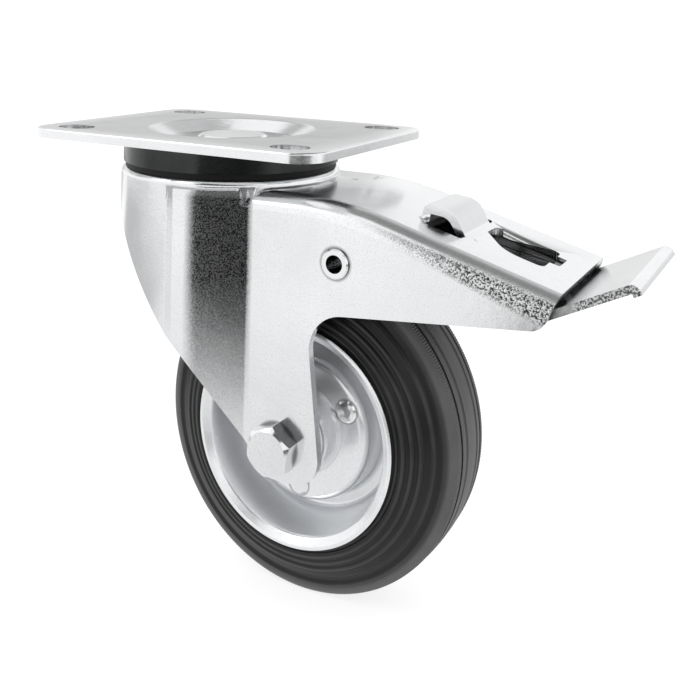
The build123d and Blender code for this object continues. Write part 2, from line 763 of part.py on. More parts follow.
def brake_shoe():
    """A channel that hangs from the web, its floor curved to the tread."""
    def spot(degrees, r):
        turn = math.radians(degrees)
        return (axle_x + r * math.cos(turn), axle_z + r * math.sin(turn))
    back = spot(shoe_from_deg, wheel_r - 2)
    front = spot(shoe_to_deg, wheel_r - 2)
    outline = [front, back, (back[0] + 3, roof_z), (front[0] + 6, roof_z)]
    axle_hole = at_axle() * along_y() * Cylinder(wheel_r + shoe_gap, 100)
    floor_top = at_axle() * along_y() * Cylinder(wheel_r + shoe_gap + shoe_thick, 100)
    block = side_plate(outline, shoe_width) - axle_hole
    block -= side_plate(outline, shoe_width - 2 * shoe_wall) - floor_top
    shoe = turned(block, -pedal_travel_deg)
    web, knee, end = lever_top()
    under = beside([web, knee], lever_sheet + gap)
    return shoe & side_plate([under[0], under[1], (under[1][0], -120), (under[0][0] - 9, -120),
                              (under[0][0] - 9, under[0][1])], 100)


def leaf_spring():
    """A strip welded under the roof; its free end bears on the lever's sleeve."""
    top = roof_z - sheet - gap
    low = pivot_z + pivot_sleeve_r + spring_gap + spring_thick
    line = [(spring_start_x, top), (spring_fix_x, top), (pivot_x - 1, low), (pivot_x + 1, low),
            (spring_tip_x, low + spring_tip_rise)]
    back = beside(line, spring_thick)
    return side_plate(line + back[::-1], spring_width, [(1, 3), (2, 2), (7, 2), (8, 2)])


# ---- write one file a node ----------------------------------------------------------

pieces = {
    "top_plate": top_plate(),
    "upper_cup": upper_cup(),
    "upper_balls": ball_ring(upper_ball_circle_r, upper_ball_z, ball_d, upper_ball_count),
    "king_pin": king_pin(),
    "lower_cup": lower_cup(),
    "lower_balls": ball_ring(lower_ball_circle_r, lower_ball_z, lower_ball_d,
                             lower_ball_count),
    "lock_ring": lock_ring(),
    "king_nut": king_nut(),
    "fork": fork(),
    "seal_ring": seal_ring(),
    "cross_rivet": cross_rivet(),
    "leaf_spring": leaf_spring(),
    "axle_bolt": axle_bolt(),
    "axle_nut": axle_nut(),
    "axle_washers": axle_washers(),
    "axle_sleeve": axle_sleeve(),
    "thrust_washers": thrust_washers(),
    "rollers": rollers(),
    "roller_cage": roller_cage(),
    "hub_tube": hub_tube(),
    "hub_caps": hub_caps(),
    "rim_near": rim_near(),
    "rim_far": rim_far(),
    "rim_rivets": rim_rivets(),
    "tyre": tyre(),
    "brake_lever": brake_lever(),
    "pivot_sleeve": pivot_sleeve(),
    "brake_shoe": brake_shoe(),
}

os.makedirs("parts", exist_ok=True)
for name, piece in pieces.items():
    solids = piece if isinstance(piece, list) else [piece]
    group = [solid for shape in solids for solid in shape.solids()]
    export_step(group[0] if len(group) == 1 else Compound(children=group),
                "parts/" + name + ".step")
    print(name, len(group))
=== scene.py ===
import bpy
import math
from mathutils import Matrix, Vector


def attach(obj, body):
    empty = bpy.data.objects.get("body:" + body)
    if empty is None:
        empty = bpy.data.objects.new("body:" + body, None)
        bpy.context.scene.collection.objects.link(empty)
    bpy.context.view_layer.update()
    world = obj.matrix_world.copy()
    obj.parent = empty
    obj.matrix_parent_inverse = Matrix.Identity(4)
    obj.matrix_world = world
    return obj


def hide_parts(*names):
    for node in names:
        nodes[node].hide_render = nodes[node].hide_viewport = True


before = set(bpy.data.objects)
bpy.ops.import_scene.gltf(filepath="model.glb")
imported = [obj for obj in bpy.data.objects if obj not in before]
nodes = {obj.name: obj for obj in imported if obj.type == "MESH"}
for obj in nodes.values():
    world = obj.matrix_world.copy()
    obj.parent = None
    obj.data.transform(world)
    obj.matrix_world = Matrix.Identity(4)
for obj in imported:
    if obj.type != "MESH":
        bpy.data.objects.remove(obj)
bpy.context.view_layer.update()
print("frame loaded:", len(nodes), "nodes")


class Value:
    # wraps a socket, so that sums of sockets read as sums
    def __init__(self, maker, socket):
        self.maker = maker
        self.socket = socket

    def __add__(self, other):
        return self.maker.math("ADD", self, other)

    def __radd__(self, other):
        return self.maker.math("ADD", other, self)

    def __sub__(self, other):
        return self.maker.math("SUBTRACT", self, other)

    def __rsub__(self, other):
        return self.maker.math("SUBTRACT", other, self)

    def __mul__(self, other):
        return self.maker.math("MULTIPLY", self, other)

    def __rmul__(self, other):
        return self.maker.math("MULTIPLY", other, self)

    def __truediv__(self, other):
        return self.maker.math("DIVIDE", self, other)

    def __rtruediv__(self, other):
        return self.maker.math("DIVIDE", other, self)

    def __pow__(self, other):
        return self.maker.math("POWER", self, other)


class MaterialMaker:
    def __init__(self, name):
        self.material = bpy.data.materials.new(name)
        self.material.use_nodes = True
        self.tree = self.material.node_tree
        self.shader = self.tree.nodes["Principled BSDF"]

    def plug(self, socket, value):
        if isinstance(value, Value):
            self.tree.links.new(value.socket, socket)
        elif isinstance(value, tuple) and len(value) == 3 and len(socket.default_value) == 4:
            socket.default_value = (*value, 1.0)  # a colour given without its alpha
        else:
            socket.default_value = value

    def node(self, kind, settings=None, out=0, **inputs):
        made = self.tree.nodes.new(kind)
        for key, setting in (settings or {}).items():
            setattr(made, key, setting)
        for key, value in inputs.items():
            isNumber = key[0] == "i" and key[1:].isdigit()  # i0 is the first socket
            self.plug(made.inputs[int(key[1:]) if isNumber else key.replace("_", " ")], value)
        return Value(self, made.outputs[out])

    def math(self, operation, *values):
        settings = {"operation": operation}
        return self.node("ShaderNodeMath", settings, **{f"i{n}": v for n, v in enumerate(values)})

    def absolute(self, value):
        return self.math("ABSOLUTE", value)

    def place(self):
        return self.node("ShaderNodeTexCoord", out="Object")

    def parts(self, vector):
        split = self.node("ShaderNodeSeparateXYZ", i0=vector).socket.node
        return [Value(self, split.outputs[n]) for n in range(3)]

    def noise(self, vector, scale, detail=3.0, rough=0.6):
        return self.node("ShaderNodeTexNoise", Vector=vector, Scale=scale, Detail=detail,
                         Roughness=rough, Distortion=0.0)

    def between(self, value, low, high, toLow=0.0, toHigh=1.0):
        # 0 before low, 1 past high, and the other way round where low is the larger
        return self.node("ShaderNodeMapRange", {"clamp": True}, i0=value, i1=low, i2=high,
                         i3=toLow, i4=toHigh)

    def mix(self, factor, first, second):
        return self.node("ShaderNodeMix", {"data_type": "RGBA"}, out=2, i0=factor, i6=first,
                         i7=second)

    def bump(self, height, distance, **under):
        return self.node("ShaderNodeBump", Strength=1.0, Distance=distance, Height=height,
                         **under)

    def finish(self, **inputs):
        for key, value in inputs.items():
            self.plug(self.shader.inputs[key.replace("_", " ")], value)
        return self.material


# most pairs in a look are ranges over which a mask goes from 0 to 1
zincLook = dict(colour=(0.87, 0.875, 0.88), shade=(0.78, 0.79, 0.80), shadeRange=(0.35, 0.7),
                fleckTone=0.94, fleckRange=(0.34, 0.48), metal=1.0, rough=0.2,
                roughSpread=0.12, cloudScale=45.0, cloudRange=(0.3, 0.75),
                peel=0.00003, peelScale=420.0, grain=0.000005, grainScale=2400.0,
                # the colour of painted shade in places the sheet hides
                paintedShadeColour=(0.10, 0.102, 0.105),
                contacts=(), contactSide=(0.0267, 0.0269), contactWidth=0.0009,
                contactShadeStrength=0.75, contactShadeColour=(0.05, 0.05, 0.05))


def zincGround(m, look):
    # the plating of every zinc piece: soft orange peel, fine grain, cloudy passivation
    at = m.place()
    peel = m.noise(at, look["peelScale"], detail=2.0, rough=0.5)
    grain = m.noise(at, look["grainScale"], detail=2.0)
    cloud = m.noise(at, look["cloudScale"], detail=4.0)
    drift = m.between(cloud, *look["cloudRange"]) - 0.5
    colour = m.mix(m.between(cloud, *look["shadeRange"]), look["shade"], look["colour"])
    fleck = tuple(look["fleckTone"] * c for c in look["shade"])
    colour = m.mix(m.between(grain, *look["fleckRange"]), fleck, colour)
    rough = look["rough"] + look["roughSpread"] * drift * grain
    normal = m.bump(grain, look["grain"], Normal=m.bump(peel, look["peel"]))
    return dict(at=at, drift=drift, colour=colour, rough=rough, normal=normal)


def paintContactShade(m, at, look, colour):
    # painted shade in the gap round each head that stands on the sheet: middle x and z, radius
    if not look["contacts"]:
        return colour
    x, y, z = m.parts(at)
    outside = m.between(m.absolute(y), *look["contactSide"])
    for middleX, middleZ, radius in look["contacts"]:
        dx = x - middleX
        dz = z - middleZ
        reach = (dx * dx + dz * dz) ** 0.5
        gap = m.between(reach, radius + look["contactWidth"], radius)
        # the ring beside each head is darkened: painted shade
        colour = m.mix(gap * outside * look["contactShadeStrength"], colour, look["contactShadeColour"])
    return colour


def zincFinish(name, look):
    m = MaterialMaker(name)
    zinc = zincGround(m, look)
    colour = paintContactShade(m, zinc["at"], look, zinc["colour"])
    return m.finish(Base_Color=colour, Metallic=look["metal"], Roughness=zinc["rough"],
                    Normal=zinc["normal"])


plateLook = dict(zincLook, rough=0.18, halfX=0.0525, halfY=0.04, shadeShare=(0.97, 0.8),
                 topLevel=(-0.0002, -0.00005), dishLevel=(-0.0033, -0.0036),
                 shadeMean=0.75, shadeDrift=0.5, plateShadeColour=(0.44, 0.445, 0.45))


def plateFinish(name, look):
    # the plate's two flat levels carry painted shade, standing in for a darker reflection, so
    # they are a little darker than its edge
    m = MaterialMaker(name)
    zinc = zincGround(m, look)
    x, y, z = m.parts(zinc["at"])
    share = m.math("MAXIMUM", m.absolute(x) / look["halfX"],
                   m.absolute(y) / look["halfY"])
    level = m.between(z, *look["topLevel"]) + m.between(z, *look["dishLevel"])
    paintedShade = m.between(share, *look["shadeShare"])
    paintedShade = paintedShade * (look["shadeMean"] + look["shadeDrift"] * zinc["drift"])
    # the middle of both levels gets painted shade
    colour = m.mix(paintedShade * level, zinc["colour"], look["plateShadeColour"])
    return m.finish(Base_Color=colour, Metallic=look["metal"], Roughness=zinc["rough"],
                    Normal=zinc["normal"])


leverLook = dict(zincLook, covered=(0.118, 0.114), coveredShade=0.85,
                 tornSide=(0.0236, 0.0239), tornStart=(0.119, 0.121), tornScale=1500.0,
                 tornSpeck=(0.55, 0.45), tornDark=0.9, tornColour=(0.03, 0.03, 0.03),
                 tornRough=0.3)


def leverFinish(name, look):
    # painted shade where the horn covers it, and torn along the pedal's cut edge
    m = MaterialMaker(name)
    zinc = zincGround(m, look)
    x, y, z = m.parts(zinc["at"])
    covered = m.between(x, *look["covered"])
    colour = m.mix(covered * look["coveredShade"], zinc["colour"], look["paintedShadeColour"])
    torn = m.between(m.absolute(y), *look["tornSide"]) * m.between(x, *look["tornStart"])
    coarse = m.noise(zinc["at"], look["tornScale"], rough=0.65)
    speck = m.between(coarse, *look["tornSpeck"])
    colour = m.mix(torn * speck * look["tornDark"], colour, look["tornColour"])
    return m.finish(Base_Color=colour, Metallic=look["metal"],
                    Roughness=zinc["rough"] + look["tornRough"] * torn, Normal=zinc["normal"])


# painted shade round the axle bolt's head and the cross rivet's head on the fork
forkLook = dict(zincLook, contacts=((0.0355, -0.087, 0.0069), (0.0537, -0.0318, 0.0044)),
                roofZ=-0.0143, hornStart=0.053, hornSlope=0.2756, coarseScale=1900.0,
                # the torn band along the horn's bend
                bandTop=(0.0016, 0.0026), bandLow=0.0035, bandGrow=0.085,
                bandFoot=(0.0008, -0.0012), bandSide=(0.0215, 0.0225),
                bandStart=(0.064, 0.092), bandEnd=(0.1175, 0.1155), bandSpeck=(0.53, 0.45),
                bandDark=0.96, bandColour=(0.02, 0.02, 0.02), bandRough=0.12,
                bandDepth=0.00014,
                # the drawn-in wall in front of the leg, stretched rough, with a painted dark
                # reflection
                wallStart=(0.0062, 0.0092), wallEnd=(0.0262, 0.0242),
                wallSide=(0.0245, 0.026), wallTop=(-0.015, -0.017), wallLow=(-0.08, -0.04),
                wallSpeck=(0.44, 0.56), wallEven=0.72, wallSpread=0.28,
                wallReflectionColour=(0.04, 0.041, 0.042), wallRough=0.05, wallDepth=0.000014,
                # painted shade inside the horn, and painted shade on the strap above its roof
                insideBelow=(0.0019, 0.0023), insideSide=(0.0247, 0.0243),
                insideStart=(0.045, 0.06), insideShade=0.8,
                strapAbove=(-0.0003, -0.0007), strapStart=(0.066, 0.07),
                strapSide=(0.0102, 0.01), strapShade=0.42, strapShadeColour=(0.50, 0.505, 0.51),
                # the front's wide bend, which carries on into the drawn-in wall
                turnStart=0.00037, turnPeak=0.00306, turnEnd=0.0105, turnSlope=0.25)


def wideBend(m, x, look):
    # a height whose slope rises to a peak and falls back to nothing; the sheet's own bend is
    # narrower, so this only widens how the bend shades
    rise = look["turnPeak"] - look["turnStart"]
    fall = look["turnEnd"] - look["turnPeak"]
    before = m.between(x, look["turnStart"], look["turnPeak"], 0.0, rise)
    after = m.between(x, look["turnPeak"], look["turnEnd"], 0.0, fall)
    height = before * before * (0.5 / rise) + after - after * after * (0.5 / fall)
    return height * look["turnSlope"]


def forkFinish(name, look):
    # the sheet is torn rough where the horn's edge and the drawn-in wall were stretched most; the
    # wall's dark is painted reflection, and painted shade lies inside the horn and on the strap
    m = MaterialMaker(name)
    zinc = zincGround(m, look)
    x, y, z = m.parts(zinc["at"])
    side = m.absolute(y)
    coarse = m.noise(zinc["at"], look["coarseScale"], rough=0.65)
    along = m.math("MAXIMUM", x - look["hornStart"], 0.0)
    below = look["roofZ"] - along * look["hornSlope"] - z  # depth under the horn's roof
    foot = below - (look["bandLow"] + along * look["bandGrow"])
    band = (m.between(below, *look["bandTop"]) * m.between(foot, *look["bandFoot"])
            * m.between(side, *look["bandSide"]) * m.between(x, *look["bandStart"])
            * m.between(x, *look["bandEnd"]))
    wall = (m.between(x, *look["wallStart"]) * m.between(x, *look["wallEnd"])
            * m.between(side, *look["wallSide"]) * m.between(z, *look["wallTop"])
            * m.between(z, *look["wallLow"]))
    inside = (m.between(below, *look["insideBelow"]) * m.between(side, *look["insideSide"])
              * m.between(x, *look["insideStart"]))
    strap = (m.between(below, *look["strapAbove"]) * m.between(x, *look["strapStart"])
             * m.between(side, *look["strapSide"]))
    speck = m.between(coarse, *look["bandSpeck"])
    colour = m.mix(band * speck * look["bandDark"], zinc["colour"], look["bandColour"])
    drawn = wall * (look["wallEven"] + look["wallSpread"] * m.between(coarse, *look["wallSpeck"]))
    colour = m.mix(drawn, colour, look["wallReflectionColour"])  # painted dark reflection in the base colour, beside what the wall really reflects
    # painted shade inside the horn and on the strap's top
    colour = m.mix(inside * look["insideShade"], colour, look["paintedShadeColour"])
    colour = m.mix(strap * look["strapShade"], colour, look["strapShadeColour"])
    colour = paintContactShade(m, zinc["at"], look, colour)
    rough = zinc["rough"] + look["bandRough"] * band + look["wallRough"] * wall
    height = coarse * (band * look["bandDepth"] + wall * look["wallDepth"])
    normal = m.bump(height + wideBend(m, x, look), 1.0, Normal=zinc["normal"])
    return m.finish(Base_Color=colour, Metallic=look["metal"], Roughness=rough, Normal=normal)


coatLook = dict(dark=(0.032, 0.034, 0.034), light=(0.056, 0.058, 0.058), metal=0.9,
                cloudScale=60.0, toneRange=(0.3, 0.7), roughRange=(0.2, 0.8),
                rough=(0.14, 0.24), peel=0.00002, peelScale=700.0)


def coatFinish(name, look):
    # dark glossy coat on the ball cup
    m = MaterialMaker(name)
    at = m.place()
    cloud = m.noise(at, look["cloudScale"], detail=4.0, rough=0.55)
    peel = m.noise(at, look["peelScale"], detail=2.0, rough=0.5)
    colour = m.mix(m.between(cloud, *look["toneRange"]), look["dark"], look["light"])
    rough = m.between(cloud, *look["roughRange"], *look["rough"])
    return m.finish(Base_Color=colour, Metallic=look["metal"], Roughness=rough,
                    Normal=m.bump(peel, look["peel"]))


axlePlace = (0.0355, -0.087)  # x and z
rubberLook = dict(worn=(0.046, 0.0475), ribs=(0.0336, 0.0354, 0.0377, 0.04, 0.0431, 0.0459),
                  ribEdge=(0.0006, 0.0001), ribHighlight=0.75, ribHighlightColour=(0.045, 0.045, 0.046),
                  ribHighlightEven=0.4, ribHighlightSpread=0.6, ribHighlightRange=(0.35, 0.65),
                  sideDark=(0.0035, 0.0035, 0.0037), sideLight=(0.008, 0.008, 0.0083),
                  treadDark=(0.064, 0.064, 0.065), treadLight=(0.098, 0.098, 0.099),
                  cloudScale=60.0, toneRange=(0.3, 0.75), roughRange=(0.2, 0.8),
                  rough=(0.27, 0.37), wornRough=0.18, shine=0.32, fine=0.00002,
                  fineScale=1800.0)


def rubberFinish(name, look):
    # moulded black rubber: darker sides with painted highlights along the ribs, and a paler worn
    # tread
    m = MaterialMaker(name)
    at = m.place()
    x, y, z = m.parts(at)
    dx = x - axlePlace[0]
    dz = z - axlePlace[1]
    radius = (dx * dx + dz * dz) ** 0.5
    fine = m.noise(at, look["fineScale"])
    cloud = m.noise(at, look["cloudScale"], detail=4.0)
    patch = m.between(cloud, *look["toneRange"])
    worn = m.between(radius, *look["worn"])
    ribHighlightShare = look["ribHighlightEven"] + look["ribHighlightSpread"] * m.between(cloud, *look["ribHighlightRange"])
    side = m.mix(patch, look["sideDark"], look["sideLight"])
    # a painted highlight along each rib
    for rib in look["ribs"]:
        edge = m.between(m.absolute(radius - rib), *look["ribEdge"])
        side = m.mix(edge * ribHighlightShare * look["ribHighlight"], side, look["ribHighlightColour"])
    tread = m.mix(patch, look["treadDark"], look["treadLight"])
    m.shader.inputs["Specular IOR Level"].default_value = look["shine"]
    rough = m.between(cloud, *look["roughRange"], *look["rough"]) + look["wornRough"] * worn
    return m.finish(Base_Color=m.mix(worn, side, tread), Roughness=rough,
                    Normal=m.bump(fine, look["fine"]))


steelLook = dict(cloudScale=120.0, toneRange=(0.3, 0.7), shadeTone=0.75, metal=1.0,
                 roughRange=(0.25, 0.75), smoother=0.05, rougher=0.08, fineScale=1500.0,
                 fine=0.00001)


def plainSteelFinish(name, colour, rough, look):
    m = MaterialMaker(name)
    at = m.place()
    cloud = m.noise(at, look["cloudScale"], detail=4.0)
    fine = m.noise(at, look["fineScale"], detail=2.0, rough=0.5)
    shade = tuple(look["shadeTone"] * c for c in colour)
    return m.finish(Base_Color=m.mix(m.between(cloud, *look["toneRange"]), shade, colour),
                    Metallic=look["metal"], Normal=m.bump(fine, look["fine"]),
                    Roughness=m.between(cloud, *look["roughRange"], rough - look["smoother"],
                                        rough + look["rougher"]))


plasticLook = dict(cloudScale=90.0, lightTone=1.5, rough=0.5, shine=0.2, fineScale=1500.0,
                   fine=0.00002)


def plasticFinish(name, colour, look):
    m = MaterialMaker(name)
    at = m.place()
    fine = m.noise(at, look["fineScale"])
    cloud = m.noise(at, look["cloudScale"], rough=0.5)
    light = tuple(look["lightTone"] * c for c in colour)
    m.shader.inputs["Specular IOR Level"].default_value = look["shine"]
    return m.finish(Base_Color=m.mix(cloud, colour, light), Roughness=look["rough"],
                    Normal=m.bump(fine, look["fine"]))


rivetCircle = dict(radius=0.017, firstTurn=-92, count=3, headR=0.0031)


def rivetHeadSpots(sizes):
    made = []
    for n in range(sizes["count"]):
        turn = math.radians(sizes["firstTurn"] + 360 / sizes["count"] * n)
        made.append((axlePlace[0] + sizes["radius"] * math.cos(turn),
                     axlePlace[1] + sizes["radius"] * math.sin(turn), sizes["headR"]))
    return made


# the rim carries painted shade in a ring round each rivet head
rimLook = dict(zincLook, colour=(0.875, 0.882, 0.895), shade=(0.80, 0.81, 0.825), metal=0.76,
               rough=0.25, peel=0.00002, contacts=rivetHeadSpots(rivetCircle),
               contactSide=(0.0007, 0.0009), contactShadeStrength=0.7)

forkZinc = forkFinish("fork zinc", forkLook)
plateZinc = plateFinish("plate zinc", plateLook)
leverZinc = leverFinish("lever zinc", leverLook)
rimZinc = zincFinish("rim zinc", rimLook)
boltZinc = zincFinish("bolt zinc", dict(zincLook, rough=0.17))
darkCoat = coatFinish("cup coat", coatLook)
tyreRubber = rubberFinish("tyre rubber", rubberLook)
bearingSteel = plainSteelFinish("bearing steel", (0.62, 0.62, 0.63), 0.15, steelLook)
hardSteel = plainSteelFinish("hard steel", (0.42, 0.42, 0.43), 0.35, steelLook)
sealPlastic = plasticFinish("seal plastic", (0.003, 0.003, 0.003), plasticLook)
nylonRing = plasticFinish("nylon ring", (0.10, 0.13, 0.18), plasticLook)
cagePlastic = plasticFinish("cage plastic", (0.02, 0.02, 0.022), plasticLook)

nodeFinish = {
    "top_plate": plateZinc, "upper_cup": darkCoat, "upper_balls": bearingSteel,
    "king_pin": boltZinc, "lower_cup": hardSteel, "lower_balls": bearingSteel,
    "lock_ring": hardSteel, "king_nut": boltZinc, "fork": forkZinc, "seal_ring": sealPlastic,
    "cross_rivet": boltZinc, "leaf_spring": hardSteel, "axle_bolt": boltZinc,
    "axle_nut": boltZinc, "axle_washers": boltZinc, "axle_sleeve": bearingSteel,
    "thrust_washers": boltZinc, "rollers": bearingSteel, "roller_cage": cagePlastic,
    "hub_tube": rimZinc, "hub_caps": rimZinc, "rim_near": rimZinc, "rim_far": rimZinc,
    "rim_rivets": boltZinc, "tyre": tyreRubber, "brake_lever": leverZinc,
    "pivot_sleeve": boltZinc, "brake_shoe": boltZinc,
}
for name, material in nodeFinish.items():
    slots = nodes[name].material_slots
    if slots:
        for slot in slots:
            slot.material = material
    else:
        nodes[name].data.materials.append(material)
print("finishes on", len(nodeFinish), "nodes")


def deselectAll():
    bpy.ops.object.select_all(action="DESELECT")


def onlySelect(piece):
    deselectAll()
    piece.select_set(True)
    bpy.context.view_layer.objects.active = piece


def prism(name, corners, push):
    # a circle's points are moved to the corners, then its face is pushed out
    deselectAll()
    bpy.ops.mesh.primitive_circle_add(vertices=len(corners), radius=0.01, fill_type="NGON",
                                      location=(0, 0, 0))
    made = bpy.context.object
    made.name = name
    for vertex, corner in zip(made.data.vertices, corners):
        vertex.co = corner
    bpy.ops.object.mode_set(mode="EDIT")
    bpy.ops.mesh.select_all(action="SELECT")
    bpy.ops.mesh.extrude_region_move(TRANSFORM_OT_translate={"value": push})
    bpy.ops.mesh.select_all(action="SELECT")
    bpy.ops.mesh.normals_make_consistent(inside=False)
    bpy.ops.object.mode_set(mode="OBJECT")
    return made


def combine(piece, tool, operation):
    onlySelect(piece)
    step = piece.modifiers.new("combine", "BOOLEAN")
    step.operation = operation
    step.solver = "EXACT"
    step.object = tool
    bpy.ops.object.modifier_apply(modifier=step.name)
    bpy.data.objects.remove(tool)


def copyNode(node, name, mergeNear):
    # a node's mesh is loose triangles, so its copy is merged first
    piece = bpy.data.objects.new(name, nodes[node].data.copy())
    bpy.context.scene.collection.objects.link(piece)
    onlySelect(piece)
    bpy.ops.object.mode_set(mode="EDIT")
    bpy.ops.mesh.select_all(action="SELECT")
    bpy.ops.mesh.remove_doubles(threshold=mergeNear)
    bpy.ops.object.mode_set(mode="OBJECT")
    return piece


def curveThrough(first, corner, last, count):
    made = []
    for step in range(count + 1):
        t = step / count
        made.append(tuple((1 - t) ** 2 * a + 2 * t * (1 - t) * b + t * t * c
                          for a, b, c in zip(first, corner, last)))
    return made


def arcPoints(centre, radius, start, end, count):
    turns = [math.radians(start + (end - start) * n / count) for n in range(count + 1)]
    return [(centre[0] + radius * math.cos(a), centre[1] + radius * math.sin(a)) for a in turns]


sheetSizes = dict(
    # the skirt's lower edge, x and z, and how far its knee is rounded
    skirtFront=(-0.045, -0.02025), skirtKnee=(-0.024, -0.0263), skirtMeets=(0.010, -0.06915),
    kneeRun=0.0044, kneeSteps=8, halfWidth=0.045, toolFloor=-0.12,
    # the drawn-in wall: its turn, its distance from the pin, its rounds and its top
    wallTurn=20.37, wallOut=0.03397, crownR=0.0356, bendR=0.008, valleyR=0.00505,
    roundSteps=8, sideY=0.02702, blendX=0.031, overrun=0.003, toolWidth=0.012,
    rimFoot=-0.0146, toolHeight=0.105,
    # the slot's near front corner
    slotStart=0.088, slotEnd=0.1074, slotEdge=0.010, slotNear=0.0083, slotCutLength=0.0085,
    slotCutWidth=0.0101, slotCutR=0.010, slotCutSteps=10, slotCornerR=0.002,
    slotCornerSteps=6, slotOver=0.0006, roofX=0.053, roofZ=-0.0143, roofSlope=0.27559,
    roofSink=0.000004, sheetDown=0.002585,
    # merging the copied mesh, and shading it
    mergeNear=0.0000005, smoothAngle=30)


def trimSkirt(piece, sizes):
    knee = Vector(sizes["skirtKnee"])
    front = Vector(sizes["skirtFront"])
    meets = Vector(sizes["skirtMeets"])
    before = knee + (front - knee).normalized() * sizes["kneeRun"]
    after = knee + (meets - knee).normalized() * sizes["kneeRun"]
    line = [tuple(front)] + curveThrough(before, knee, after, sizes["kneeSteps"])
    line += [tuple(meets), (meets.x, sizes["toolFloor"]), (front.x, sizes["toolFloor"])]
    half = sizes["halfWidth"]
    corners = [(x, -half, z) for x, z in line]
    combine(piece, prism("skirt tool", corners, (0, 2 * half, 0)), "DIFFERENCE")


def trimWall(piece, sizes, sign):
    # the drawn-in wall runs on up to the rim's foot, with its own round into the side
    turn = math.radians(sizes["wallTurn"])
    outward = Vector((math.sin(turn), math.cos(turn)))
    along = Vector((math.cos(turn), -math.sin(turn)))
    inner = sizes["crownR"] - sizes["bendR"]
    level = sizes["wallOut"] - sizes["bendR"]
    back = math.sqrt(inner ** 2 - level ** 2)
    bend = outward * level - along * back
    first = 90 - sizes["wallTurn"]
    crownTurn = first + math.degrees(math.atan2(back, level))
    front = arcPoints(bend, sizes["bendR"], crownTurn, first, sizes["roundSteps"])
    tangent = Vector((-front[0][1], front[0][0])).normalized()
    run = Vector(front[0]) + tangent * sizes["overrun"]
    sideY = sizes["sideY"]
    meetX = (sizes["wallOut"] - sideY * outward.y) / outward.x
    centre = (meetX + sizes["valleyR"] * math.tan(turn / 2), sideY + sizes["valleyR"])
    outerY = sideY + sizes["toolWidth"]
    line = [tuple(run)] + front
    line += arcPoints(centre, sizes["valleyR"], 270 - sizes["wallTurn"], 270,
                      sizes["roundSteps"])
    line += [(sizes["blendX"], sideY), (sizes["blendX"], outerY), (run.x, outerY)]
    corners = [(x, sign * y, -sizes["toolHeight"]) for x, y in line]
    push = (0, 0, sizes["toolHeight"] + sizes["rimFoot"])
    combine(piece, prism("wall tool", corners, push), "DIFFERENCE")


def fillSlotCorner(piece, sizes):
    # sheet left standing beside the strap's foot, with a swept edge
    startX = sizes["slotStart"]
    endX = sizes["slotEnd"]
    near = -sizes["slotNear"]
    turn = math.atan(sizes["slotCutWidth"] / sizes["slotCutLength"])
    run = sizes["slotCutR"] * math.tan(turn / 2)
    centre = (startX + sizes["slotCutLength"] + run, near + sizes["slotCutR"])
    corner = (endX - sizes["slotCornerR"], near + sizes["slotCornerR"])
    over = sizes["slotOver"]
    outer = -sizes["slotEdge"] - over
    line = [(startX, outer), (startX, near + sizes["slotCutWidth"])]
    line += arcPoints(centre, sizes["slotCutR"], 270 - math.degrees(turn), 270,
                      sizes["slotCutSteps"])
    line += arcPoints(corner, sizes["slotCornerR"], 270, 360, sizes["slotCornerSteps"])
    line += [(endX + over, corner[1]), (endX + over, outer)]
    corners = []
    for x, y in line:
        roof = sizes["roofZ"] - sizes["roofSlope"] * (x - sizes["roofX"])
        corners.append((x, y, roof - sizes["roofSink"]))
    combine(piece, prism("slot tool", corners, (0, 0, -sizes["sheetDown"])), "UNION")


def makeForkSheet(sizes):
    # the fork's own sheet, trimmed and filled
    piece = copyNode("fork", "fork_sheet", sizes["mergeNear"])
    trimSkirt(piece, sizes)
    for sign in (-1, 1):
        trimWall(piece, sizes, sign)
    fillSlotCorner(piece, sizes)
    onlySelect(piece)
    bpy.ops.object.shade_smooth_by_angle(angle=math.radians(sizes["smoothAngle"]))
    even = piece.modifiers.new("even", "WEIGHTED_NORMAL")
    even.keep_sharp = True
    bpy.ops.object.modifier_apply(modifier=even.name)
    piece.data.materials.clear()
    piece.data.materials.append(forkZinc)
    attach(piece, "fork")
    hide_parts("fork")
    return piece


forkSheet = makeForkSheet(sheetSizes)
print("fork sheet made:", len(forkSheet.data.polygons), "faces")


def scaleRing(factor):
    bpy.ops.transform.resize(value=(factor, 1, factor),
                             center_override=(axlePlace[0], 0, axlePlace[1]))


def makeRing(name, path, count):
    # a closed ring round the axle: a circle pushed along the path, its two ends bridged
    deselectAll()
    bpy.ops.mesh.primitive_circle_add(vertices=count, radius=path[0][1],
                                      location=(axlePlace[0], path[0][0], axlePlace[1]),
                                      rotation=(math.pi / 2, 0, 0))
    ring = bpy.context.object
    ring.name = name
    bpy.ops.object.transform_apply(location=True, rotation=True, scale=True)
    bpy.ops.object.mode_set(mode="EDIT")
    bpy.ops.mesh.select_all(action="SELECT")
    for (lastY, lastR), (y, radius) in zip(path, path[1:]):
        bpy.ops.mesh.extrude_region_move(TRANSFORM_OT_translate={"value": (0, y - lastY, 0)})
        scaleRing(radius / lastR)
    bpy.ops.mesh.select_all(action="DESELECT")
    bpy.ops.mesh.select_non_manifold()
    bpy.ops.mesh.bridge_edge_loops()
    bpy.ops.mesh.select_all(action="SELECT")
    bpy.ops.mesh.normals_make_consistent(inside=False)
    bpy.ops.mesh.select_all(action="DESELECT")
    bpy.ops.object.mode_set(mode="OBJECT")
    return ring


def dress(piece, material, body):
    piece.data.materials.append(material)
    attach(piece, body)


knurlSizes = dict(teeth=380, start=0.00775, end=0.00965, sections=4, treadR=0.05,
                  crown=0.0007, crownWidth=0.0096, proud=0.00014, deep=0.0004, valley=1.6)


def treadRadius(sizes, y):
    return sizes["treadR"] - sizes["crown"] * (y / sizes["crownWidth"]) ** 2


